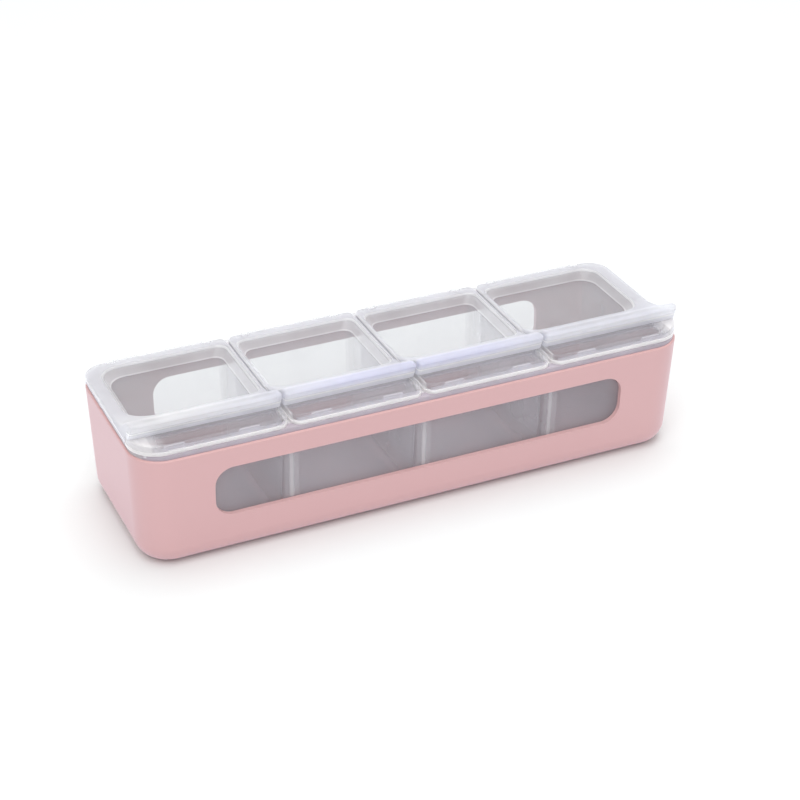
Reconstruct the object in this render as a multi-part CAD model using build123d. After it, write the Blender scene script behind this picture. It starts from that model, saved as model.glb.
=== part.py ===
"""Four-compartment condiment caddy with flip lids.

A drafted outer case holds a clear lift-out tray with four wells.  Each well has its own
lid, hinged on a pin along the rear edge of the tray and lifted by a raised front lip.

Frame: millimetres, +X along the caddy, -Y towards the lips, +Y towards the hinges, +Z up.
The origin is the middle of the footprint on the surface that the case stands on.
"""
from build123d import *
import os

# --------------------------------------------------------------------------- case
CASE_LENGTH = 250.0        # along X, at the rim
CASE_DEPTH = 81.0          # along Y, at the rim
CASE_HEIGHT = 52.0         # floor to rim
CASE_CORNER = 14.4         # corner radius in plan
CASE_LEAN = 1.75           # each side leans in by this much from rim to foot
CASE_FOOT_ROUND = 9.2      # rolled bottom edge
CASE_WALL = 2.0
CASE_FLOOR = 2.2
CASE_RIM_ROUND = 0.7

# ------------------------------------------------------------------------ windows
WINDOW_LENGTH = 186.4
WINDOW_HEIGHT = 22.9
WINDOW_SILL = 19.7         # height of the window's lower edge
WINDOW_CORNER = 8.0

# --------------------------------------------------------------------------- tray
WELL_COUNT = 4
WELL_PITCH = 59.5          # divider to divider
DIVIDER = 2.7
TRAY_CLEARANCE = 0.3       # tray wall to case wall
TRAY_STANDOFF = 0.8        # tray floor above case floor: the tray hangs by its flange
TRAY_WALL = 1.9
TRAY_FLOOR = 1.8
WELL_INNER_CORNER = 5.0    # well corners beside a divider
WELL_FOOT_ROUND = 4.5
FLANGE_INSET = 1.0         # flange edge inside the rim's outer edge
FLANGE_THICKNESS = 2.1
FLANGE_ROUND = 0.6

# --------------------------------------------------------------------------- lids
LID_GAP = 1.2              # between neighbouring lids
LID_END_OVERHANG = 0.7     # end lid past the flange's end
LID_FRONT_INSET = 0.5      # lid front inside the flange's front edge
LID_REAR_INSET = 1.9       # lid rear inside the flange's rear edge
LID_FRAME_RISE = 2.3       # top of the soft frame above the flange
LID_INNER_FRONT_CORNER = 4.5
LID_INNER_REAR_CORNER = 3.0
LID_OUTER_REAR_CORNER = 10.0
LID_OUTER_FRONT_CORNER = 13.0
FRAME_ROUND = 0.9
PLATE_THICKNESS = 1.2      # hard plate between flange and soft frame
DISH_DEPTH = 3.4           # plug below the flange's top
DISH_SKIN = 1.2
DISH_FRONT_SETBACK = 24.0  # recessed dish's brim behind the lid's front edge
DISH_REAR_SETBACK = 4.5    # and in front of its rear edge
DISH_SIDE_INSET = 0.55     # its brim from the well's side, beside another lid
DISH_END_INSET = 2.3       # and at an end of the caddy
DISH_SLOPE = 3.2           # its walls lean in by this much from brim to floor
DISH_OUTER_FRONT_CORNER = 12.0
DISH_INNER_FRONT_CORNER = 7.0
DISH_OUTER_REAR_CORNER = 8.0
DISH_INNER_REAR_CORNER = 4.4
SKIRT_CLEARANCE = 0.3      # plug skirt to well wall
SKIRT_THICKNESS = 1.1
HOOD_DEPTH = 13.7          # clear front hood, from the lid's front edge back
HOOD_RISE = 4.3            # hood top above the flange
HOOD_SKIN = 1.0
HOOD_INSET = 0.2           # hood wall inside the bead below it
HOOD_ROUND = 0.6
BEAD_RISE = 1.5            # soft bead under the hood's wall

# ------------------------------------------------------------------ lip of each lid
# Each pair is (distance behind the lid's front edge, height above the frame's top).
LIP_START = (35.0, 0.0)    # where the frame's top starts to climb
LIP_SADDLE = (29.0, 0.9)
LIP_SLOPE = (20.0, 3.8)
LIP_CREST = (10.6, 9.2)
LIP_NOSE = (7.7, 8.0)
LIP_RIDGE = (8.7, 4.9)     # crease between the nose and the finger throat below it
LIP_ROOT_SETBACK = 9.8     # where the lip's front face meets the hood
LIP_CREST_HEADING = (-0.9, 0.25)
LIP_WALL = 1.8
LIP_CREST_WALL = 2.5       # thicker under the crest
LIP_SIDE_ROUND = 1.5       # the lip's edges at a lid's two sides

# -------------------------------------------------------------------------- hinge
PIN_RADIUS = 0.75
PIN_RUNNING_FIT = 0.06     # pin in the lid's knuckle, radial
PIN_SEAT_FIT = 0.01        # pin in the tray's ears, radial
KNUCKLE_RADIUS = 1.45
KNUCKLE_CLEARANCE = 0.35   # knuckle to the groove in the flange
HINGE_REAR_INSET = 1.6     # pin axis inside the flange's rear edge
HINGE_RISE = 0.8           # pin axis above the flange's top
EAR_WIDTH = 3.0
EAR_SIDE_CLEARANCE = 0.35
EAR_FROM_EDGE = 7.0        # ear's outer face from the lid's end, on an inner corner
EAR_FROM_ROUND_EDGE = 12.0  # the same on an end lid's rounded corner
EAR_SWEEP = 2.2            # lid material stays this far from the pin axis at an ear

# -------------------------------------------------------------------- catch lugs
LUG_OFFSET = 15.75         # lug centre from the lid's centre
LUG_WIDTH = 9.0
LUG_THICKNESS = 0.9
LUG_TOP_GAP = 0.35         # lug to the underside of the hood
LUG_ROUND = 0.8

# ----------------------------------------------------------------- working margins
OVERCUT = 1.0              # a cutter reaches this far past what it cuts
LEAST_CORNER = 0.5         # smallest radius of an inset plan
WEB_LAP = 1.0              # knuckle's web runs this far into the plate

# ------------------------------------------------------------- heights that follow
FLANGE_TOP = CASE_HEIGHT + FLANGE_THICKNESS
PLATE_TOP = FLANGE_TOP + PLATE_THICKNESS
FRAME_TOP = FLANGE_TOP + LID_FRAME_RISE
HOOD_TOP = FLANGE_TOP + HOOD_RISE
BEAD_TOP = FLANGE_TOP + BEAD_RISE
DISH_BASE = FLANGE_TOP - DISH_DEPTH
DISH_TOP = DISH_BASE + DISH_SKIN
ABOVE_LIP = FRAME_TOP + 2 * LIP_CREST[1]
TRAY_BASE = CASE_FLOOR + TRAY_STANDOFF
WELL_FLOOR = TRAY_BASE + TRAY_FLOOR

# --------------------------------------------------------------- places that follow
FLANGE_HALF_LENGTH = CASE_LENGTH / 2 - FLANGE_INSET
FLANGE_HALF_DEPTH = CASE_DEPTH / 2 - FLANGE_INSET
FLANGE_CORNER = CASE_CORNER - FLANGE_INSET
TRAY_INSET = CASE_WALL + TRAY_CLEARANCE
WELL_INSET = TRAY_INSET + TRAY_WALL
WELL_HALF_LENGTH = CASE_LENGTH / 2 - WELL_INSET
WELL_HALF_DEPTH = CASE_DEPTH / 2 - WELL_INSET
FRAME_LAP = DIVIDER / 2 + SKIRT_CLEARANCE - LID_GAP / 2  # soft frame down to the skirt's line
LID_FRONT = -(FLANGE_HALF_DEPTH - LID_FRONT_INSET)
LID_REAR = FLANGE_HALF_DEPTH - LID_REAR_INSET
LID_END = FLANGE_HALF_LENGTH + LID_END_OVERHANG
DISH_FRONT = LID_FRONT + DISH_FRONT_SETBACK
DISH_REAR = LID_REAR - DISH_REAR_SETBACK
HOOD_REAR = LID_FRONT + HOOD_DEPTH
HINGE_Y = FLANGE_HALF_DEPTH - HINGE_REAR_INSET
HINGE_Z = FLANGE_TOP + HINGE_RISE
HALF_WELLS = WELL_COUNT / 2


# ------------------------------------------------------------------------- helpers
def lean_at(height):
    """How far a drafted wall stands inside its rim line at the given height."""
    return CASE_LEAN * (CASE_HEIGHT - height) / CASE_HEIGHT


def drafted_block(inset, low, high):
    """Block with the case's draft whose sides stand inset within the case's outside."""
    length = CASE_LENGTH - 2 * inset
    depth = CASE_DEPTH - 2 * inset
    corner = CASE_CORNER - inset
    plans = [
        Pos(0, 0, height) * RectangleRounded(
            length - 2 * lean_at(height), depth - 2 * lean_at(height), corner)
        for height in (low, high)
    ]
    return loft(plans, ruled=True)


def plan_face(x_range, y_range, corners):
    """Rectangle with its own radius at front left, front right, rear right, rear left."""
    (x0, x1), (y0, y1) = x_range, y_range
    face = Pos((x0 + x1) / 2, (y0 + y1) / 2) * Rectangle(x1 - x0, y1 - y0)
    for (x, y), radius in zip(((x0, y0), (x1, y0), (x1, y1), (x0, y1)), corners):
        if radius > 0:
            vertex = face.vertices().sort_by_distance((x, y, 0))[0]
            face = fillet(vertex, radius)
    return face


def slab(face, low, high):
    """The face as a prism between two heights."""
    return extrude(Pos(0, 0, low) * face, high - low)


def box_between(x_range, y_range, z_range):
    """Box given by its ranges along the three axes."""
    ranges = (x_range, y_range, z_range)
    sizes = [high - low for low, high in ranges]
    return Pos(*[(low + high) / 2 for low, high in ranges]) * Box(*sizes)


def bar_along_x(x_range, y, z, radius):
    """Round bar along X."""
    x0, x1 = x_range
    return Pos((x0 + x1) / 2, y, z) * Rot(0, 90, 0) * Cylinder(radius, x1 - x0)


def profile_along_x(face, x_range):
    """Extrude a face drawn as (y, z) from the low to the high end of the range."""
    x0, x1 = x_range
    plane = Plane(origin=(x0, 0, 0), x_dir=(0, 1, 0), z_dir=(1, 0, 0))
    return extrude(plane * face, x1 - x0)


# ---------------------------------------------------------------------------- plans
class Bay:
    """One well and its lid: plans and places that both take from the same sizes."""

    def __init__(self, number):
        self.number = number
        left = (number - 1 - HALF_WELLS) * WELL_PITCH
        right = left + WELL_PITCH
        self.first = number == 1
        self.last = number == WELL_COUNT
        self.well_x = (
            -WELL_HALF_LENGTH if self.first else left + DIVIDER / 2,
            WELL_HALF_LENGTH if self.last else right - DIVIDER / 2)
        self.lid_x = (
            -LID_END if self.first else left + LID_GAP / 2,
            LID_END if self.last else right - LID_GAP / 2)
        self.centre = sum(self.lid_x) / 2

    def corners(self, front, front_inner, rear, rear_inner):
        """Radii for a plan: outer ones on an end of the caddy, inner ones elsewhere."""
        return (
            front if self.first else front_inner,
            front if self.last else front_inner,
            rear if self.last else rear_inner,
            rear if self.first else rear_inner)

    def well_plan(self, inset):
        """The well's plan at the rim, inset all round."""
        corner = max(CASE_CORNER - WELL_INSET - inset, LEAST_CORNER)
        inner = max(WELL_INNER_CORNER - inset, LEAST_CORNER)
        x0, x1 = self.well_x
        return plan_face(
            (x0 + inset, x1 - inset),
            (-WELL_HALF_DEPTH + inset, WELL_HALF_DEPTH - inset),
            self.corners(corner, inner, corner, inner))

    def lid_plan(self, inset=0.0):
        """The lid's outline seen from above, inset all round."""
        x0, x1 = self.lid_x
        radii = self.corners(
            LID_OUTER_FRONT_CORNER, LID_INNER_FRONT_CORNER,
            LID_OUTER_REAR_CORNER, LID_INNER_REAR_CORNER)
        return plan_face(
            (x0 + inset, x1 - inset), (LID_FRONT + inset, LID_REAR - inset),
            [max(radius - inset, LEAST_CORNER) for radius in radii])

    def dish_plan(self, lean):
        """The recessed dish seen from above, its walls in by the given lean."""
        x0, x1 = self.well_x
        left = lean + (DISH_END_INSET if self.first else DISH_SIDE_INSET)
        right = lean + (DISH_END_INSET if self.last else DISH_SIDE_INSET)
        return plan_face(
            (x0 + left, x1 - right), (DISH_FRONT + lean, DISH_REAR - lean),
            self.corners(
                DISH_OUTER_FRONT_CORNER, DISH_INNER_FRONT_CORNER,
                DISH_OUTER_REAR_CORNER, DISH_INNER_REAR_CORNER))

    def ear_spans(self):
        """X ranges of the two hinge ears that stand in this lid's notches."""
        left = EAR_FROM_ROUND_EDGE if self.first else EAR_FROM_EDGE
        right = EAR_FROM_ROUND_EDGE if self.last else EAR_FROM_EDGE
        x0, x1 = self.lid_x
        return ((x0 + left, x0 + left + EAR_WIDTH), (x1 - right - EAR_WIDTH, x1 - right))

    def knuckle_span(self):
        """X range of the lid's knuckle, between its two ears."""
        left_ear, right_ear = self.ear_spans()
        return (left_ear[1] + EAR_SIDE_CLEARANCE, right_ear[0] - EAR_SIDE_CLEARANCE)

    def pin_span(self):
        """X range of the hinge pin, from one ear's outer face to the other's."""
        left_ear, right_ear = self.ear_spans()
        return (left_ear[0], right_ear[1])


BAYS = [Bay(number) for number in range(1, WELL_COUNT + 1)]


# ----------------------------------------------------------------------------- case
def make_outer_case():
    """Drafted case with a rolled foot and a long window in its front and rear walls."""
    outside = drafted_block(0, 0, CASE_HEIGHT)
    outside = fillet(outside.edges().group_by(Axis.Z)[0], CASE_FOOT_ROUND)
    inside = drafted_block(CASE_WALL, CASE_FLOOR, CASE_HEIGHT + OVERCUT)
    inside = fillet(inside.edges().group_by(Axis.Z)[0], CASE_FOOT_ROUND - CASE_WALL)
    case = outside - inside
    rim = case.faces().sort_by(Axis.Z)[-1].outer_wire()
    case = fillet(rim.edges(), CASE_RIM_ROUND)
    return case - window_cutter()


def window_cutter():
    """Long round-ended bar that opens the front and the rear wall in one cut."""
    outline = Pos(0, WINDOW_SILL + WINDOW_HEIGHT / 2) * RectangleRounded(
        WINDOW_LENGTH, WINDOW_HEIGHT, WINDOW_CORNER)
    return extrude(Plane.XZ * outline, CASE_DEPTH, both=True)


# ----------------------------------------------------------------------------- tray
def make_well(bay):
    """The space inside one well, open at the top."""
    lean = lean_at(WELL_FLOOR)
    lower = bay.well_plan(lean)
    upper = bay.well_plan(0)
    body = loft([Pos(0, 0, WELL_FLOOR) * lower, Pos(0, 0, CASE_HEIGHT) * upper], ruled=True)
    body = fillet(body.edges().group_by(Axis.Z)[0], WELL_FOOT_ROUND - lean)
    return body + slab(upper, CASE_HEIGHT, FLANGE_TOP + OVERCUT)


def make_ear(span):
    """Hinge ear: a block on the flange, round over the pin."""
    x0, x1 = span
    eye = bar_along_x(span, HINGE_Y, HINGE_Z, KNUCKLE_RADIUS)
    foot = box_between(
        (x0, x1),
        (HINGE_Y - KNUCKLE_RADIUS, HINGE_Y + KNUCKLE_RADIUS),
        (FLANGE_TOP - FLANGE_THICKNESS / 2, HINGE_Z))
    return eye + foot


def make_lug(x):
    """Catch lug on the tray's front edge, behind the lid's clear front wall."""
    high = HOOD_TOP - HOOD_SKIN - LUG_TOP_GAP
    lug = box_between(
        (x - LUG_WIDTH / 2, x + LUG_WIDTH / 2),
        (-WELL_HALF_DEPTH - LUG_THICKNESS, -WELL_HALF_DEPTH),
        (FLANGE_TOP - FLANGE_THICKNESS / 2, high))
    upper = lug.edges().filter_by(Axis.Y).group_by(Axis.Z)[-1]
    return fillet(upper, LUG_ROUND)


def make_compartment_tray():
    """Clear tray: four wells, a flange that hangs on the case, hinge ears and lugs."""
    body = drafted_block(TRAY_INSET, TRAY_BASE, CASE_HEIGHT)
    body = fillet(body.edges().group_by(Axis.Z)[0], CASE_FOOT_ROUND - TRAY_INSET)
    flange = slab(
        RectangleRounded(2 * FLANGE_HALF_LENGTH, 2 * FLANGE_HALF_DEPTH, FLANGE_CORNER),
        CASE_HEIGHT, FLANGE_TOP)
    flange = fillet(flange.edges().group_by(Axis.Z)[-1], FLANGE_ROUND)
    tray = body + flange
    for bay in BAYS:
        tray -= make_well(bay)
    for bay in BAYS:
        x0, x1 = bay.knuckle_span()
        groove = (x0 - EAR_SIDE_CLEARANCE, x1 + EAR_SIDE_CLEARANCE)
        tray -= bar_along_x(groove, HINGE_Y, HINGE_Z, KNUCKLE_RADIUS + KNUCKLE_CLEARANCE)
        for span in bay.ear_spans():
            tray += make_ear(span)
        tray -= bar_along_x(bay.pin_span(), HINGE_Y, HINGE_Z, PIN_RADIUS + PIN_SEAT_FIT)
        for side in (-1, 1):
            tray += make_lug(bay.centre + side * LUG_OFFSET)
    return tray


# ----------------------------------------------------------------------- lid pieces
def ear_notches(bay):
    """Slots that let the lid swing past its two ears."""
    slots = [
        box_between(
            (x0 - EAR_SIDE_CLEARANCE, x1 + EAR_SIDE_CLEARANCE),
            (HINGE_Y - EAR_SWEEP, HINGE_Y + EAR_SWEEP),
            (DISH_BASE - OVERCUT, FRAME_TOP + OVERCUT))
        for x0, x1 in bay.ear_spans()]
    return slots[0] + slots[1]


def front_zone(bay, rear):
    """Everything of a lid that lies in front of the given y."""
    x0, x1 = bay.lid_x
    return box_between(
        (x0 - OVERCUT, x1 + OVERCUT), (LID_FRONT - OVERCUT, rear),
        (DISH_BASE - OVERCUT, ABOVE_LIP))


def knuckle_web(bay):
    """Strip that joins the plate's rear edge to the knuckle."""
    return box_between(
        bay.knuckle_span(), (LID_REAR - FRAME_LAP - WEB_LAP, HINGE_Y), (FLANGE_TOP, PLATE_TOP))


def make_hood(bay):
    """Clear front hood: a ledge with front and side walls, open below."""
    outside = slab(bay.lid_plan(HOOD_INSET), BEAD_TOP, HOOD_TOP)
    outside = fillet(outside.edges().group_by(Axis.Z)[-1], HOOD_ROUND)
    outside = outside & front_zone(bay, HOOD_REAR)
    inside = slab(bay.lid_plan(FRAME_LAP), BEAD_TOP - OVERCUT, HOOD_TOP - HOOD_SKIN)
    inside = inside & front_zone(bay, HOOD_REAR - HOOD_SKIN)
    return outside - inside


def dish_space(bay):
    """The dish's hollow: it widens from floor to brim and goes straight up above that."""
    floor = Pos(0, 0, DISH_TOP) * bay.dish_plan(DISH_SLOPE)
    brim = bay.dish_plan(0)
    hollow = loft([floor, Pos(0, 0, FRAME_TOP) * brim], ruled=True)
    return hollow + slab(brim, FRAME_TOP, ABOVE_LIP)


def make_lid_shell(bay):
    """Hard clear lid: plate, recessed dish, plug skirt, front hood and hinge knuckle."""
    plate = slab(bay.lid_plan(FRAME_LAP), FLANGE_TOP, PLATE_TOP)
    plate -= front_zone(bay, HOOD_REAR - HOOD_SKIN)
    riser = slab(bay.lid_plan(FRAME_LAP), FLANGE_TOP, HOOD_TOP)
    riser = riser & front_zone(bay, HOOD_REAR)
    riser -= front_zone(bay, HOOD_REAR - HOOD_SKIN)
    skirt = slab(bay.well_plan(SKIRT_CLEARANCE), DISH_BASE, HOOD_TOP - HOOD_SKIN)
    skirt -= slab(
        bay.well_plan(SKIRT_CLEARANCE + SKIRT_THICKNESS), DISH_BASE - OVERCUT, HOOD_TOP)
    skirt -= box_between(
        (bay.lid_x[0], bay.lid_x[1]), (HOOD_REAR, LID_REAR), (PLATE_TOP, HOOD_TOP))
    dish = slab(bay.well_plan(SKIRT_CLEARANCE), DISH_BASE, PLATE_TOP)
    dish -= front_zone(bay, DISH_FRONT - SKIRT_THICKNESS)
    knuckle = bar_along_x(bay.knuckle_span(), HINGE_Y, HINGE_Z, KNUCKLE_RADIUS)
    shell = plate + riser + make_hood(bay) + skirt + dish + knuckle + knuckle_web(bay)
    shell -= dish_space(bay)
    shell -= bar_along_x(bay.lid_x, HINGE_Y, HINGE_Z, PIN_RADIUS + PIN_RUNNING_FIT)
    return shell - ear_notches(bay)


def lip_point(pair):
    """A lip size as a point of the side view, (y, z)."""
    setback, rise = pair
    return (LID_FRONT + setback, FRAME_TOP + rise)


def lip_profile():
    """Side view of the frame's front: a climbing top, a rounded nose, a finger throat."""
    start, saddle, slope, crest, nose, ridge = [
        lip_point(pair)
        for pair in (LIP_START, LIP_SADDLE, LIP_SLOPE, LIP_CREST, LIP_NOSE, LIP_RIDGE)]
    climb = Spline(start, saddle, slope, crest, tangents=[(-1, 0), LIP_CREST_HEADING])
    brow = TangentArc(crest, nose, tangent=climb % 1)
    rest = Polyline(
        nose, ridge, (LID_FRONT + LIP_ROOT_SETBACK, HOOD_TOP), (HOOD_REAR, HOOD_TOP),
        (HOOD_REAR, PLATE_TOP), (start[0], PLATE_TOP), start)
    return make_face(climb + brow + rest)


def lip_hollow():
    """Side view of the space inside the lip, one wall in from its outside."""
    slope_y, slope_z = lip_point(LIP_SLOPE)
    crest_y, crest_z = lip_point(LIP_CREST)
    ridge_y, ridge_z = lip_point(LIP_RIDGE)
    back = (slope_y, PLATE_TOP)
    front = ridge_y + LIP_WALL
    outline = [
        back, (slope_y, slope_z - LIP_WALL),
        (crest_y + LIP_WALL / 2, crest_z - LIP_CREST_WALL),
        (front, ridge_z), (front, HOOD_TOP), (HOOD_REAR, HOOD_TOP), (HOOD_REAR, PLATE_TOP), back]
    return make_face(Polyline(*outline))


def side_edges(lip):
    """The lip's edges at its two sides that show: along its top, its nose and its throat."""
    sides = lip.edges().filter_by(Axis.X, reverse=True)
    curved = sides.filter_by(GeomType.LINE, reverse=True)
    throat = [
        edge for edge in sides.filter_by(GeomType.LINE)
        if edge.center().Z > HOOD_TOP and edge.center().Y < LID_FRONT + LIP_ROOT_SETBACK]
    return curved + throat


def make_lid_rim(bay):
    """Soft frosted rim: a frame over the plate, a front bead and the raised lip."""
    x0, x1 = bay.lid_x
    frame = slab(bay.lid_plan(), FLANGE_TOP, FRAME_TOP)
    frame = fillet(frame.edges().group_by(Axis.Z)[-1], FRAME_ROUND)
    frame -= front_zone(bay, HOOD_REAR)
    bead = slab(bay.lid_plan(), FLANGE_TOP, BEAD_TOP) & front_zone(bay, HOOD_REAR)
    lip = profile_along_x(lip_profile(), bay.lid_x)
    lip = fillet(side_edges(lip), LIP_SIDE_ROUND)
    lip -= profile_along_x(lip_hollow(), (x0 + LIP_WALL, x1 - LIP_WALL))
    lip = lip & slab(bay.lid_plan(), FLANGE_TOP, ABOVE_LIP)
    bead -= slab(bay.lid_plan(FRAME_LAP), FLANGE_TOP, BEAD_TOP)
    rim = frame + lip + bead
    rim -= slab(bay.lid_plan(FRAME_LAP), FLANGE_TOP, PLATE_TOP)
    rim -= dish_space(bay)
    rim -= bar_along_x(bay.knuckle_span(), HINGE_Y, HINGE_Z, KNUCKLE_RADIUS)
    rim -= knuckle_web(bay)
    return rim - ear_notches(bay)


def make_hinge_pin(bay):
    """Pin from ear to ear through the lid's knuckle."""
    return bar_along_x(bay.pin_span(), HINGE_Y, HINGE_Z, PIN_RADIUS)


# --------------------------------------------------------------------------- output
def make_parts():
    """Every sub-part by its node name."""
    parts = {
        "outer_case": make_outer_case(),
        "compartment_tray": make_compartment_tray(),
    }
    for bay in BAYS:
        parts[f"lid_shell_{bay.number}"] = make_lid_shell(bay)
        parts[f"lid_rim_{bay.number}"] = make_lid_rim(bay)
        parts[f"hinge_pin_{bay.number}"] = make_hinge_pin(bay)
    return parts


def main():
    """Write one STEP file for each sub-part."""
    os.makedirs("parts", exist_ok=True)
    for name, part in make_parts().items():
        export_step(part, f"parts/{name}.step")


if __name__ == "__main__":
    main()
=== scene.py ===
"""Looks of a four-well condiment caddy with flip lids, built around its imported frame.

Metres, in the frame's own axes: +X along the row of wells, -Y towards the lids' lips,
+Y towards the hinges, +Z up from the surface that the case stands on.
"""
from __future__ import annotations

import logging
import math
from abc import ABC, abstractmethod
from dataclasses import dataclass
from enum import Enum

import bpy
import numpy as np
from mathutils import Matrix, Vector


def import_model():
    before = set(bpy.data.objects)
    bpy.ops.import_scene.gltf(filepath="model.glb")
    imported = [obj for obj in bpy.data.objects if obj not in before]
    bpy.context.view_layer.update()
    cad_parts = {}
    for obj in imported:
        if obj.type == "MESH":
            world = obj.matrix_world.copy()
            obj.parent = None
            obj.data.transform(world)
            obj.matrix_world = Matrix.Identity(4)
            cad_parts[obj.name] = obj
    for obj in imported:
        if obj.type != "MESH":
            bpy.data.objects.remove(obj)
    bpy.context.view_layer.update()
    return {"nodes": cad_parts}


LOG = logging.getLogger("caddy")
Colour = tuple[float, float, float]
Range = tuple[float, float]
Point = tuple[float, float, float]

WHITE: Colour = (1.0, 1.0, 1.0)
CLEAR_LAYERS = 40  # see-through surfaces that one ray may pass
PLASTIC_IOR = 1.5
SCATTER_REACH = 0.004  # how far light wanders in the frosted plastic
SCATTER_SPREAD = (1.0, 1.0, 1.0)  # the same reach for red, green and blue
FACING_BLEND = 0.5  # facing share grows evenly from face on to edge on

# the mould grain: slow drift, fine grain and rubs drawn out along X
DRIFT_DETAIL = 2.0
GRAIN_DETAIL = 3.0
GRAIN_SHARE = 0.25
RUB_STRETCH = (0.35, 1.0, 1.6)
RUBS_PER_M = 420.0
RUB_DETAIL = 6.0

# the milky haze: its slow flow pattern
FLOWS_PER_M = 55.0
FLOW_DETAIL = 2.0
FLOW_SWING = 0.5

# the lines of the dividers, which stand one well apart
WELL_PITCH = 0.0595
RIB_SOFTNESS = 0.0004

# ranges that several zones share, along the axis that each name ends with
HOOD_Y = (-0.0400, -0.0254)
HOOD_Z = (0.0556, 0.0600)
OVER_FLANGE_Z = (0.0543, 0.0700)
FLANGE_Z = (0.0519, 0.0700)
LIP_Z = (0.0583, 0.0800)
LIP_FRONT_Y = (-0.0400, -0.0275)


# ------------------------------------------------------------------ shared effects
class Effect(Enum):
    """Shader node groups that several finishes share."""

    MOULD_GRAIN = "mould_grain"
    MILKY_HAZE = "milky_haze"
    SOFT_BAND = "soft_band"
    RIB_LINES = "rib_lines"


class Blend(Enum):
    """What a Mix node mixes."""

    COLOURS = "RGBA"
    NUMBERS = "FLOAT"


class Wiring:
    """Short-hand for adding and joining nodes in one node tree."""

    def __init__(self, tree: bpy.types.NodeTree) -> None:
        """Keep the tree to work in.

        Args:
            tree: the tree of a material, a world or a node group.
        """
        self.tree = tree

    def add(self, kind: str, **values: object) -> bpy.types.Node:
        """Add a node and set its properties.

        Args:
            kind: the node's class, such as ShaderNodeMath.
            values: properties of the node.

        Returns:
            The new node.
        """
        node = self.tree.nodes.new(kind)
        for name, value in values.items():
            setattr(node, name, value)
        return node

    def join(self, source: bpy.types.NodeSocket, target: bpy.types.NodeSocket) -> None:
        """Link an output to an input."""
        self.tree.links.new(source, target)

    def feed(self, value: object, target: bpy.types.NodeSocket) -> None:
        """Link a value to an input if it is an output, or else set it there.

        Args:
            value: an output, a number or a colour of four numbers.
            target: the input.
        """
        if isinstance(value, bpy.types.NodeSocket):
            self.join(value, target)
        else:
            target.default_value = value

    def maths(self, operation: str, *values: object, clamp: bool = False) -> bpy.types.NodeSocket:
        """Add a Math node.

        Args:
            operation: the node's operation, such as MULTIPLY.
            values: numbers or outputs, one for each input in turn.
            clamp: keep the result from 0 to 1.

        Returns:
            The node's output.
        """
        node = self.add("ShaderNodeMath", operation=operation, use_clamp=clamp)
        for value, target in zip(values, node.inputs):
            self.feed(value, target)
        return node.outputs[0]

    def soft_step(self, distance: object, softness: object) -> bpy.types.NodeSocket:
        """Mask that climbs evenly from 0 to 1 as a distance goes from -softness to softness."""
        share = self.maths("DIVIDE", distance, softness)
        return self.maths("MULTIPLY_ADD", share, 0.5, 0.5, clamp=True)

    def noise(self, vector: bpy.types.NodeSocket, scale: object,
              detail: float) -> bpy.types.NodeSocket:
        """Add a noise texture.

        Args:
            vector: where to read it.
            scale: how many bumps there are to a metre, as a number or an output.
            detail: how many finer layers it has.

        Returns:
            Its value, from 0 to 1.
        """
        node = self.add("ShaderNodeTexNoise")
        self.join(vector, node.inputs["Vector"])
        self.feed(scale, node.inputs["Scale"])
        node.inputs["Detail"].default_value = detail
        return node.outputs["Fac"]

    def blend(self, kind: Blend, share: object, low: object,
              high: object) -> bpy.types.NodeSocket:
        """Mix two colours or two numbers.

        Args:
            kind: whether they are colours or numbers.
            share: how much of the second there is, as a number or an output.
            low: the first: a number, a colour of four numbers or an output.
            high: the second.

        Returns:
            The mixed colour or number.
        """
        node = self.add("ShaderNodeMix", data_type=kind.value)
        self.feed(share, node.inputs["Factor"])
        self.feed(low, node.inputs["A"])
        self.feed(high, node.inputs["B"])
        return node.outputs["Result"]

    def end_in(self, output: str, shader: bpy.types.NodeSocket) -> None:
        """Join a shader to a new output node of the kind named."""
        self.join(shader, self.add(output).inputs["Surface"])


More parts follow.
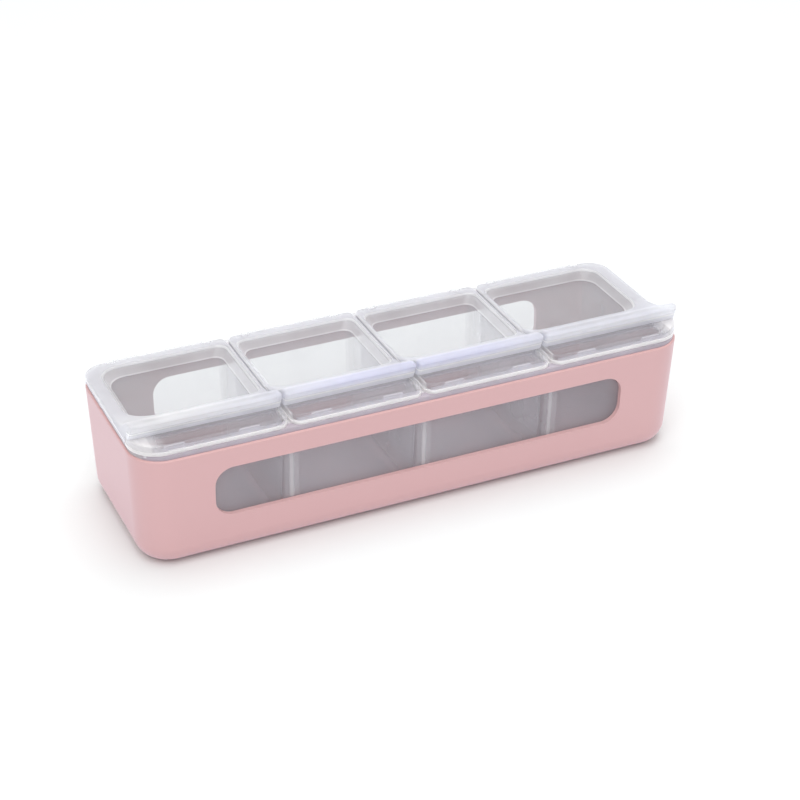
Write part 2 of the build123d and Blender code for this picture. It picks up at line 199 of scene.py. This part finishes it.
class EffectShelf:
    """Builds each shared node group once and hands it out."""

    def __init__(self) -> None:
        """Start with no groups built."""
        self._built: dict[Effect, bpy.types.NodeTree] = {}

    def group(self, effect: Effect) -> bpy.types.NodeTree:
        """Give the node tree of an effect.

        Args:
            effect: which effect.

        Returns:
            Its node group, built on the first call.
        """
        if effect not in self._built:
            makers = {
                Effect.MOULD_GRAIN: self._mould_grain,
                Effect.MILKY_HAZE: self._milky_haze,
                Effect.SOFT_BAND: self._soft_band,
                Effect.RIB_LINES: self._rib_lines,
            }
            self._built[effect] = makers[effect]()
        return self._built[effect]

    def use(self, net: Wiring, effect: Effect, **values: object) -> bpy.types.NodeOutputs:
        """Add an effect to a tree.

        Args:
            net: the wiring of the tree.
            effect: which effect.
            values: a number or an output for each of its inputs.

        Returns:
            The effect's outputs.
        """
        node = net.add("ShaderNodeGroup", node_tree=self.group(effect))
        for name, value in values.items():
            net.feed(value, node.inputs[name])
        return node.outputs

    @staticmethod
    def _open(effect: Effect, inputs: tuple[str, ...], outputs: tuple[str, ...]) -> Wiring:
        """Make an empty group with named sockets.

        Args:
            effect: the effect, which names the group.
            inputs: names of the inputs: Vector is a vector and the others are numbers.
            outputs: names of the outputs, all of them numbers.

        Returns:
            The wiring of the group, with its input and output nodes in place.
        """
        tree = bpy.data.node_groups.new(effect.value, "ShaderNodeTree")
        for name in inputs:
            kind = "NodeSocketVector" if name == "Vector" else "NodeSocketFloat"
            tree.interface.new_socket(name, in_out="INPUT", socket_type=kind)
        for name in outputs:
            tree.interface.new_socket(name, in_out="OUTPUT", socket_type="NodeSocketFloat")
        wiring = Wiring(tree)
        wiring.add("NodeGroupInput", name="in")
        wiring.add("NodeGroupOutput", name="out")
        return wiring

    def _mould_grain(self) -> bpy.types.NodeTree:
        """Skin of a moulded part: slow drift in tone, a fine spark-eroded grain, faint rubs.

        Returns:
            Group with Tone and Polish from 0 to 1 and a Height in metres for a bump.
        """
        net = self._open(
            Effect.MOULD_GRAIN,
            ("Vector", "Grain", "Depth", "Drift"), ("Tone", "Height", "Polish"))
        source, target = net.tree.nodes["in"].outputs, net.tree.nodes["out"].inputs
        drift = net.noise(source["Vector"], source["Drift"], DRIFT_DETAIL)
        grain = net.noise(source["Vector"], source["Grain"], GRAIN_DETAIL)
        rubs = net.add("ShaderNodeMapping")
        rubs.inputs["Scale"].default_value = RUB_STRETCH
        net.join(source["Vector"], rubs.inputs["Vector"])
        scuff = net.noise(rubs.outputs["Vector"], RUBS_PER_M, RUB_DETAIL)
        slow = net.maths("MULTIPLY", drift, 1.0 - GRAIN_SHARE)
        net.join(net.maths("MULTIPLY_ADD", grain, GRAIN_SHARE, slow), target["Tone"])
        net.join(net.maths("MULTIPLY", grain, source["Depth"]), target["Height"])
        net.join(net.maths("MULTIPLY", scuff, drift), target["Polish"])
        return net.tree

    def _milky_haze(self) -> bpy.types.NodeTree:
        """How much light a clear moulding holds back: haze, more of it at a grazing view.

        Returns:
            Group whose Alpha is haze times a slow flow pattern, plus edge times the facing
            share raised to the falloff.
        """
        net = self._open(
            Effect.MILKY_HAZE, ("Vector", "Facing", "Haze", "Edge", "Falloff"), ("Alpha",))
        source, target = net.tree.nodes["in"].outputs, net.tree.nodes["out"].inputs
        flow = net.noise(source["Vector"], FLOWS_PER_M, FLOW_DETAIL)
        share = net.maths("MULTIPLY_ADD", flow, FLOW_SWING, 1.0 - FLOW_SWING / 2)
        body = net.maths("MULTIPLY", source["Haze"], share)
        grazing = net.maths("POWER", source["Facing"], source["Falloff"])
        rim = net.maths("MULTIPLY", grazing, source["Edge"])
        net.join(net.maths("ADD", body, rim, clamp=True), target["Alpha"])
        return net.tree

    def _soft_band(self) -> bpy.types.NodeTree:
        """A band of values with soft ends.

        Returns:
            Group whose Mask climbs from 0 to 1 at Low and falls back to 0 at High, each over
            twice the Soft distance.
        """
        net = self._open(Effect.SOFT_BAND, ("Value", "Low", "High", "Soft"), ("Mask",))
        source, target = net.tree.nodes["in"].outputs, net.tree.nodes["out"].inputs
        above = net.maths("SUBTRACT", source["Value"], source["Low"])
        below = net.maths("SUBTRACT", source["High"], source["Value"])
        net.join(net.soft_step(net.maths("MINIMUM", above, below), source["Soft"]), target["Mask"])
        return net.tree

    def _rib_lines(self) -> bpy.types.NodeTree:
        """Lines across a value, one at each whole number of well pitches.

        Returns:
            Group whose Mask is 1 within Half of a line's middle and falls to 0 beyond it.
        """
        net = self._open(Effect.RIB_LINES, ("Value", "Half"), ("Mask",))
        source, target = net.tree.nodes["in"].outputs, net.tree.nodes["out"].inputs
        turns = net.maths("DIVIDE", source["Value"], WELL_PITCH)
        off = net.maths("ABSOLUTE", net.maths("SUBTRACT", turns, net.maths("ROUND", turns)))
        room = net.maths("SUBTRACT", source["Half"], net.maths("MULTIPLY", off, WELL_PITCH))
        net.join(net.soft_step(room, RIB_SOFTNESS), target["Mask"])
        return net.tree


# ------------------------------------------------------------------------ finishes
class Finish(ABC):
    """A finish that can be put on any piece."""

    @abstractmethod
    def material(self, shelf: EffectShelf) -> bpy.types.Material:
        """Build the Blender material.

        Args:
            shelf: where the shared effects come from.

        Returns:
            The new material.
        """


@dataclass
class Recipe:
    """A moulded plastic's material under way.

    Attributes:
        net: the material's wiring.
        material: the material.
        shader: its Principled shader.
        place: object coordinates.
        tone: the plastic's colour, before any zone is laid over it.
    """

    net: Wiring
    material: bpy.types.Material
    shader: bpy.types.Node
    place: bpy.types.NodeSocket
    tone: bpy.types.NodeSocket


@dataclass(frozen=True, kw_only=True)
class Moulding(Finish):
    """What the moulded plastics share: two close tones, a fine grain and faint rubs.

    Attributes:
        name: the material's name.
        colour: the lighter tone.
        shade: the darker tone.
        roughness: roughness where there is no rub.
        polish: how much rougher the strongest rub is.
        grain: bumps of the grain to a metre.
        depth: their height.
        drift: patches of tone to a metre.
    """

    name: str
    colour: Colour
    shade: Colour
    roughness: float
    polish: float
    grain: float
    depth: float
    drift: float

    def _start(self, shelf: EffectShelf) -> Recipe:
        """Begin the material: shader, grain, bump, tone and roughness.

        Args:
            shelf: where the shared effects come from.

        Returns:
            The material under way, with its colour not yet joined.
        """
        net, material = new_material(self.name)
        shader = net.add("ShaderNodeBsdfPrincipled")
        net.end_in("ShaderNodeOutputMaterial", shader.outputs["BSDF"])
        place = net.add("ShaderNodeTexCoord").outputs["Object"]
        skin = shelf.use(net, Effect.MOULD_GRAIN, Vector=place, Grain=self.grain,
                         Depth=self.depth, Drift=self.drift)
        bump = net.add("ShaderNodeBump")
        bump.inputs["Distance"].default_value = 1.0  # the height is in metres already
        net.join(skin["Height"], bump.inputs["Height"])
        net.join(bump.outputs["Normal"], shader.inputs["Normal"])
        tone = net.blend(Blend.COLOURS, skin["Tone"], (*self.shade, 1.0), (*self.colour, 1.0))
        rough = net.maths("MULTIPLY_ADD", skin["Polish"], self.polish, self.roughness)
        net.join(rough, shader.inputs["Roughness"])
        shader.inputs["IOR"].default_value = PLASTIC_IOR
        return Recipe(net, material, shader, place, tone)


@dataclass(frozen=True, kw_only=True)
class SatinPlastic(Moulding):
    """Coloured moulding with a soft sheen."""

    roughness: float = 0.36
    polish: float = 0.10
    grain: float = 2600.0
    depth: float = 0.000012
    drift: float = 14.0

    def material(self, shelf: EffectShelf) -> bpy.types.Material:
        """Build the material: two close tones, a fine grain, a sheen that varies a little.

        Args:
            shelf: where the shared effects come from.

        Returns:
            The new material.
        """
        recipe = self._start(shelf)
        recipe.net.join(recipe.tone, recipe.shader.inputs["Base Color"])
        return recipe.material


@dataclass(frozen=True)
class Zone:
    """Part of a clear moulding that is hazier or clearer than the rest, or tinted; some zones are
    painted light or painted shade.

    Attributes:
        part: what the zone is, which labels its nodes.
        haze: its haze.
        colour: its colour.
        x: its range along X in object space, or None where X is free.
        y: the same along Y.
        z: the same along Z.
        soft: half of the width over which it fades out along Y and Z.
        soft_x: the same along X.
        ribs: above 0, only what is this close to a divider's middle is in the zone.
    """

    part: str
    haze: float
    colour: Colour
    x: Range | None = None
    y: Range | None = None
    z: Range | None = None
    soft: float = 0.0002
    soft_x: float = 0.0002
    ribs: float = 0.0

    def mask(self, net: Wiring, shelf: EffectShelf, axes: bpy.types.Node) -> bpy.types.NodeSocket:
        """Wire up where the zone is.

        Args:
            net: the material's wiring.
            shelf: where the effects come from.
            axes: the node that gives x, y and z in object space.

        Returns:
            A mask, 1 inside the zone.
        """
        masks = []
        reaches = (("X", self.x, self.soft_x), ("Y", self.y, self.soft), ("Z", self.z, self.soft))
        for axis, reach, soft in reaches:
            if reach is not None:
                band = shelf.use(net, Effect.SOFT_BAND, Value=axes.outputs[axis],
                                 Low=reach[0], High=reach[1], Soft=soft)
                masks.append(band["Mask"])
        if self.ribs > 0.0:
            lines = shelf.use(net, Effect.RIB_LINES, Value=axes.outputs["X"], Half=self.ribs)
            masks.append(lines["Mask"])
        mask = masks[0]
        for other in masks[1:]:
            mask = net.maths("MULTIPLY", mask, other)
        mask.node.label = self.part
        return mask


@dataclass(frozen=True, kw_only=True)
class ClearPlastic(Moulding):
    """See-through moulding, clear to milky, with zones that differ from the rest.

    Attributes:
        haze: how much light it holds back, seen face on.
        edge: how much more it holds back, seen edge on.
        falloff: how fast that fades away from the edge: the power of the facing share.
        zones: parts that differ from the rest, each laid over those before it.
        scatter: share of the light that wanders inside it.
    """

    haze: float
    edge: float
    falloff: float
    zones: tuple[Zone, ...] = ()
    scatter: float = 0.0
    polish: float = 0.12
    grain: float = 1800.0
    depth: float = 0.000006
    drift: float = 22.0

    def material(self, shelf: EffectShelf) -> bpy.types.Material:
        """Build the material: a pale body let through by an alpha that grows at its edges.

        Each zone in turn is laid over the colour and the haze of those before it.

        Args:
            shelf: where the shared effects come from.

        Returns:
            The new material.
        """
        recipe = self._start(shelf)
        net, shader = recipe.net, recipe.shader
        axes = net.add("ShaderNodeSeparateXYZ")
        net.join(recipe.place, axes.inputs[0])
        colour, hold = recipe.tone, self.haze
        for zone in self.zones:
            mask = zone.mask(net, shelf, axes)
            colour = net.blend(Blend.COLOURS, mask, colour, (*zone.colour, 1.0))
            hold = net.blend(Blend.NUMBERS, mask, hold, zone.haze)
        net.join(colour, shader.inputs["Base Color"])
        shader.inputs["Subsurface Weight"].default_value = self.scatter
        shader.inputs["Subsurface Radius"].default_value = SCATTER_SPREAD
        shader.inputs["Subsurface Scale"].default_value = SCATTER_REACH
        facing = net.add("ShaderNodeLayerWeight")
        facing.inputs["Blend"].default_value = FACING_BLEND
        veil = shelf.use(net, Effect.MILKY_HAZE, Vector=recipe.place,
                         Facing=facing.outputs["Facing"], Haze=hold,
                         Edge=self.edge, Falloff=self.falloff)
        net.join(veil["Alpha"], shader.inputs["Alpha"])
        return recipe.material


def new_material(name: str) -> tuple[Wiring, bpy.types.Material]:
    """Make a material with an empty tree.

    Args:
        name: the material's name.

    Returns:
        The wiring of its tree, and the material.
    """
    material = bpy.data.materials.new(name)
    material.use_nodes = True
    material.node_tree.nodes.clear()
    return Wiring(material.node_tree), material


def wear(piece: bpy.types.Object, material: bpy.types.Material) -> None:
    """Give a piece one material in all its slots.

    Args:
        piece: the node or new piece.
        material: what it wears.
    """
    if not piece.material_slots:
        piece.data.materials.append(material)
    for slot in piece.material_slots:
        slot.material = material


# -------------------------------------------------------------------- sub-assemblies
class SubAssembly(ABC):
    """Nodes of the frame that are finished together."""

    @abstractmethod
    def dress(self, nodes: dict[str, bpy.types.Object], shelf: EffectShelf) -> None:
        """Put the finishes on the nodes.

        Args:
            nodes: the frame's nodes by name.
            shelf: where the shared effects come from.
        """


@dataclass
class OuterCase(SubAssembly):
    """Satin case with a long window in its front and rear walls."""

    node: str = "outer_case"
    finish: SatinPlastic = SatinPlastic(
        name="case_satin", colour=(0.715, 0.440, 0.436), shade=(0.680, 0.413, 0.412))

    def dress(self, nodes: dict[str, bpy.types.Object], shelf: EffectShelf) -> None:
        """Put the case's finish on its node.

        Args:
            nodes: the frame's nodes by name.
            shelf: where the shared effects come from.
        """
        wear(nodes[self.node], self.finish.material(shelf))
        LOG.info("case: %s", self.node)


@dataclass
class CompartmentTray(SubAssembly):
    """Clear tray with four wells, which hangs in the case by its flange."""

    node: str = "compartment_tray"
    finish: ClearPlastic = ClearPlastic(
        name="tray_clear", colour=(0.72, 0.72, 0.76), shade=(0.65, 0.65, 0.71),
        haze=0.13, edge=0.55, falloff=3.0, roughness=0.12,
        zones=(
            Zone("dividers", haze=0.24, colour=(0.74, 0.74, 0.78), ribs=0.0032),
            Zone("dividers at the front wall", haze=0.40, colour=(0.82, 0.82, 0.84),
                 y=(-0.045, -0.034), ribs=0.0009),
            Zone("flange", haze=0.44, colour=(0.90, 0.90, 0.93), z=FLANGE_Z),
            # painted shade: the flange is darker and duller along the front, where shade falls
            Zone("painted shade on the front flange", haze=0.50, colour=(0.72, 0.66, 0.75),
                 y=(-0.0440, -0.0345), z=FLANGE_Z),
            Zone("tops of the dividers", haze=0.70, colour=(0.88, 0.87, 0.90),
                 y=(-0.0360, 0.0360), z=(0.0530, 0.0545), ribs=0.0016),
            Zone("catch lugs", haze=0.30, colour=(0.88, 0.86, 0.92),
                 y=(-0.0385, -0.0360), z=OVER_FLANGE_Z),
            Zone("hinge ears", haze=0.16, colour=(0.95, 0.96, 0.98),
                 y=(0.0360, 0.0420), z=OVER_FLANGE_Z),
            # painted shade: the wells' floors are dark grey, standing for the shade inside the
            # case
            Zone("painted shade on the well floors", haze=0.38, colour=(0.40, 0.38, 0.42),
                 z=(-0.0010, 0.0052), soft=0.0015),
        ))

    def dress(self, nodes: dict[str, bpy.types.Object], shelf: EffectShelf) -> None:
        """Put the tray's finish on its node.

        Args:
            nodes: the frame's nodes by name.
            shelf: where the shared effects come from.
        """
        wear(nodes[self.node], self.finish.material(shelf))
        LOG.info("tray: %s", self.node)


@dataclass
class FlipLids(SubAssembly):
    """Four lids, each a hard clear shell, a frosted soft rim and a hinge pin."""

    count: int = 4
    shell: ClearPlastic = ClearPlastic(
        name="lid_clear", colour=(0.69, 0.70, 0.73), shade=(0.63, 0.64, 0.68),
        haze=0.19, edge=0.50, falloff=3.0, roughness=0.10,
        zones=(
            Zone("walls of the dish", haze=0.42, colour=(0.92, 0.92, 0.95),
                 y=(-0.0252, 0.0400), z=(0.0521, 0.0560)),
            Zone("foot of the dish's walls", haze=0.52, colour=(0.97, 0.97, 0.99),
                 y=(-0.0252, 0.0350), z=(0.0520, 0.0525), soft=0.0001),
            Zone("hood", haze=0.09, colour=(0.84, 0.84, 0.89), y=HOOD_Y, z=HOOD_Z),
            Zone("front wall of the hood", haze=0.30, colour=(0.84, 0.83, 0.90),
                 y=(-0.0400, -0.0378), z=(0.0556, 0.0574)),
            Zone("hood beside a divider", haze=0.40, colour=(0.96, 0.95, 0.96),
                 y=HOOD_Y, z=HOOD_Z, ribs=0.0014),
            # painted light: the hood's left and right corners are whiter where light falls on them
            Zone("painted light on the hood's left corner", haze=0.58, colour=(0.97, 0.95, 0.96),
                 x=(-0.1300, -0.1165), y=HOOD_Y, soft_x=0.0050),
            Zone("painted light on the hood's right corner", haze=0.58, colour=(0.97, 0.95, 0.96),
                 x=(0.1165, 0.1300), y=HOOD_Y, soft_x=0.0050),
            Zone("knuckle", haze=0.20, colour=(0.95, 0.96, 0.98),
                 y=(0.0362, 0.0420), z=(0.0530, 0.0570)),
        ))
    rim: ClearPlastic = ClearPlastic(
        name="lid_frosted", colour=(0.82, 0.82, 0.88), shade=(0.76, 0.76, 0.84),
        haze=0.45, edge=0.35, falloff=2.0, roughness=0.28, scatter=0.5,
        zones=(
            Zone("side of the frame", haze=0.70, colour=(0.97, 0.97, 0.99), z=(0.0553, 0.0562)),
            Zone("lip's climb", haze=0.24, colour=(0.86, 0.87, 0.97), z=LIP_Z, soft=0.0020),
            Zone("lip, more and more towards its crest", haze=0.40, colour=(0.86, 0.87, 0.97),
                 y=(-0.0500, -0.0265), z=LIP_Z, soft=0.0060),
            Zone("lip's front", haze=0.76, colour=(0.97, 0.98, 1.00),
                 y=(-0.0400, -0.0280), z=(0.0570, 0.0630), soft=0.0025),
            # painted light: a bluer tint on the crests of the two middle lips
            Zone("painted bluish light on the middle crests", haze=0.52, colour=(0.72, 0.73, 0.98),
                 x=(-0.0500, 0.0500), y=LIP_FRONT_Y, z=(0.0625, 0.0680),
                 soft=0.0015, soft_x=0.0200),
            # painted light: the lips' left ends are whiter, where the light from the left falls
            Zone("painted light on the lips' left end", haze=0.40, colour=(0.98, 0.98, 1.00),
                 x=(-0.1300, -0.0900), z=(0.0575, 0.0800), soft=0.0020, soft_x=0.0200),
            Zone("foot of the lip's front", haze=0.80, colour=(0.92, 0.93, 1.00),
                 y=LIP_FRONT_Y, z=(0.0583, 0.0607), soft=0.0006),
            # painted highlight: a thin white line along the crease in the lip's front
            Zone("painted highlight along the lip's crease", haze=0.95, colour=(1.00, 1.00, 1.00),
                 y=LIP_FRONT_Y, z=(0.0610, 0.0615), soft=0.0002),
            Zone("front bead", haze=0.85, colour=(1.00, 0.97, 0.96),
                 y=(-0.0400, -0.0253), z=(0.0500, 0.0558)),
        ))
    pin: ClearPlastic = ClearPlastic(
        name="pin_clear", colour=(0.90, 0.91, 0.94), shade=(0.86, 0.87, 0.90),
        haze=0.24, edge=0.12, falloff=2.0, roughness=0.25)

    def dress(self, nodes: dict[str, bpy.types.Object], shelf: EffectShelf) -> None:
        """Put the finishes on every lid's nodes.

        Args:
            nodes: the frame's nodes by name.
            shelf: where the shared effects come from.
        """
        made = {
            "lid_shell": (self.shell.material(shelf), "lid_clear"),
            "lid_rim": (self.rim.material(shelf), "lid_frosted"),
            "hinge_pin": (self.pin.material(shelf), "pin_clear"),
        }
        for number in range(1, self.count + 1):
            for part, (material, slot) in made.items():
                node = nodes[f"{part}_{number}"]
                wear(node, material)
            LOG.info("lid %d: shell, rim and pin", number)


# --------------------------------------------------------------------------- studio
@dataclass(frozen=True)
class Lamp:
    """Square soft lamp.

    Attributes:
        name: its name.
        place: where it hangs.
        size: its side.
        power: its power in watts.
        aim: the place that it looks at.
    """

    name: str
    place: Point
    size: float
    power: float
    aim: Point = (0.0, 0.0, 0.03)

    def build(self) -> None:
        """Make the lamp."""
        data = bpy.data.lights.new(self.name, "AREA")
        data.shape = "SQUARE"
        data.size = self.size
        data.energy = self.power
        lamp = bpy.data.objects.new(self.name, data)
        bpy.context.scene.collection.objects.link(lamp)
        lamp.location = self.place
        lamp.rotation_mode = "QUATERNION"
        line = Vector(self.aim) - Vector(self.place)
        lamp.rotation_quaternion = line.to_track_quat("-Z", "Y")


@dataclass
class Studio:
    """White floor, soft lamps and an even sky.

    Attributes:
        sky: strength of the sky's light.
        sky_seen: strength of the sky where it is seen, which is plain white.
        floor_reach: half of the floor's side.
        floor_points: points along the floor's side.
        floor_drop: how far the floor lies under the case.
        floor_tone: the floor's colour for the light that it throws back.
        floor_seen: its colour as the camera sees it.
        floor_mirrored: what the glossy pieces mirror of it.
        fade: distances from the middle over which the seen floor turns plain white.
        lamps: the soft lamps.
    """

    sky: float = 0.62
    sky_seen: float = 1.0
    floor_reach: float = 6.0
    floor_points: int = 9
    floor_drop: float = 0.0002
    floor_tone: Colour = (0.82, 0.83, 0.86)
    floor_seen: Colour = (0.87, 0.90, 0.90)
    floor_mirrored: Colour = (0.40, 0.46, 0.56)
    fade: Range = (0.8, 2.2)
    lamps: tuple[Lamp, ...] = (
        Lamp("key", place=(-0.5, -0.9, 1.7), size=1.3, power=15.0),
        Lamp("top", place=(0.3, 0.4, 1.9), size=1.6, power=16.0),
    )

    def build(self) -> None:
        """Make the floor, the sky and the lamps."""
        self._floor()
        self._sky()
        for lamp in self.lamps:
            lamp.build()
        LOG.info("studio: floor, sky and %d lamps", len(self.lamps))

    def _floor(self) -> None:
        """Make the floor: points evenly spaced along both sides of a flat square.

        It throws light back in floor_tone and shows floor_seen with the case's shadow on it.
        It glows as well: in floor_mirrored where it is mirrored, in white where it is far off.
        """
        side = np.linspace(-self.floor_reach, self.floor_reach, self.floor_points)
        across, along = np.meshgrid(side, side)
        level = np.full(across.size, -self.floor_drop)
        points = np.stack([across.ravel(), along.ravel(), level], axis=1)
        floor = grid_piece("studio_floor", points, self.floor_points, self.floor_points)
        net, material = new_material("studio_white")
        path = net.add("ShaderNodeLightPath").outputs
        seen = path["Is Camera Ray"]
        diffuse = net.add("ShaderNodeBsdfDiffuse")
        tones = (*self.floor_tone, 1.0), (*self.floor_seen, 1.0)
        net.join(net.blend(Blend.COLOURS, seen, *tones), diffuse.inputs["Color"])
        glow = net.add("ShaderNodeEmission")
        lights = (*self.floor_mirrored, 1.0), (*WHITE, 1.0)
        net.join(net.blend(Blend.COLOURS, seen, *lights), glow.inputs["Color"])
        fading = net.maths("MULTIPLY", seen, self._far_off(net))
        net.join(net.maths("MAXIMUM", fading, path["Is Glossy Ray"]), glow.inputs["Strength"])
        total = net.add("ShaderNodeAddShader")
        net.join(diffuse.outputs[0], total.inputs[0])
        net.join(glow.outputs[0], total.inputs[1])
        net.end_in("ShaderNodeOutputMaterial", total.outputs[0])
        wear(floor, material)

    def _far_off(self, net: Wiring) -> bpy.types.NodeSocket:
        """Wire up where the floor is far off.

        Args:
            net: the wiring of the floor's material.

        Returns:
            A mask that climbs from 0 to 1 over the fade's distances from the middle.
        """
        place = net.add("ShaderNodeTexCoord")
        length = net.add("ShaderNodeVectorMath", operation="LENGTH")
        net.join(place.outputs["Object"], length.inputs[0])
        near, far = self.fade
        past = net.maths("SUBTRACT", length.outputs["Value"], near)
        return net.maths("DIVIDE", past, far - near, clamp=True)

    def _sky(self) -> None:
        """Make the world: even light, and plain white where it is seen."""
        world = bpy.data.worlds.new("studio_sky")
        bpy.context.scene.world = world
        world.use_nodes = True
        world.node_tree.nodes.clear()
        net = Wiring(world.node_tree)
        path = net.add("ShaderNodeLightPath").outputs
        seen = net.maths("MAXIMUM", path["Is Camera Ray"], path["Is Transmission Ray"])
        seen = net.maths("MAXIMUM", seen, path["Is Glossy Ray"])
        background = net.add("ShaderNodeBackground")
        strength = net.blend(Blend.NUMBERS, seen, self.sky, self.sky_seen)
        net.join(strength, background.inputs["Strength"])
        background.inputs["Color"].default_value = (*WHITE, 1.0)
        net.end_in("ShaderNodeOutputWorld", background.outputs[0])


@dataclass
class ViewCamera:
    """Camera that looks down on the caddy from its front left.

    Attributes:
        place: where it stands.
        target: what it looks at.
        lens: its focal length in millimetres.
        sensor: its sensor's width in millimetres.
        roll: how far it leans, in degrees.
        nearest: distance of the nearest thing that it sees.
    """

    place: Point = (-0.3018, -0.6619, 0.4656)
    target: Point = (0.00623, 0.0, 0.02942)
    lens: float = 88.05
    sensor: float = 36.0
    roll: float = 0.52
    nearest: float = 0.01

    def build(self) -> None:
        """Make the camera and choose it for the scene."""
        data = bpy.data.cameras.new("view")
        data.lens = self.lens
        data.sensor_width = self.sensor
        data.clip_start = self.nearest
        camera = bpy.data.objects.new("view", data)
        bpy.context.scene.collection.objects.link(camera)
        forward = (Vector(self.target) - Vector(self.place)).normalized()
        level = forward.cross(Vector((0, 0, 1))).normalized()
        up = level.cross(forward)
        turn = math.radians(self.roll)
        right = level * math.cos(turn) + up * math.sin(turn)
        top = up * math.cos(turn) - level * math.sin(turn)
        matrix = Matrix((right, top, -forward)).transposed().to_4x4()
        matrix.translation = Vector(self.place)
        camera.matrix_world = matrix
        bpy.context.scene.camera = camera
        LOG.info("camera: lens %.2f mm", self.lens)


# ---------------------------------------------------------------------------- meshes
def grid_piece(name: str, points: np.ndarray, rows: int, columns: int) -> bpy.types.Object:
    """Make an object from points laid out in rows and columns.

    Args:
        name: the object's name.
        points: one row of x, y, z for each point, row by row.
        rows: how many rows there are.
        columns: how many points each row has.

    Returns:
        The new object, with one four-sided face between each four neighbouring points.
    """
    index = np.arange(rows * columns).reshape(rows, columns)
    corners = [index[:-1, :-1], index[:-1, 1:], index[1:, 1:], index[1:, :-1]]
    faces = np.stack(corners, axis=-1).reshape(-1, len(corners))
    mesh = bpy.data.meshes.new(name)
    mesh.from_pydata(points.tolist(), [], faces.tolist())
    mesh.update()
    piece = bpy.data.objects.new(name, mesh)
    bpy.context.scene.collection.objects.link(piece)
    return piece


def main() -> None:
    """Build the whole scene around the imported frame."""
    logging.basicConfig(level=logging.INFO, format="%(name)s: %(message)s")
    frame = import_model()
    scene = bpy.context.scene
    scene.view_settings.view_transform = "Standard"
    scene.cycles.transparent_max_bounces = CLEAR_LAYERS
    shelf = EffectShelf()
    for assembly in (OuterCase(), CompartmentTray(), FlipLids()):
        assembly.dress(frame["nodes"], shelf)
    Studio().build()
    ViewCamera().build()


if __name__ == "__main__":
    main()
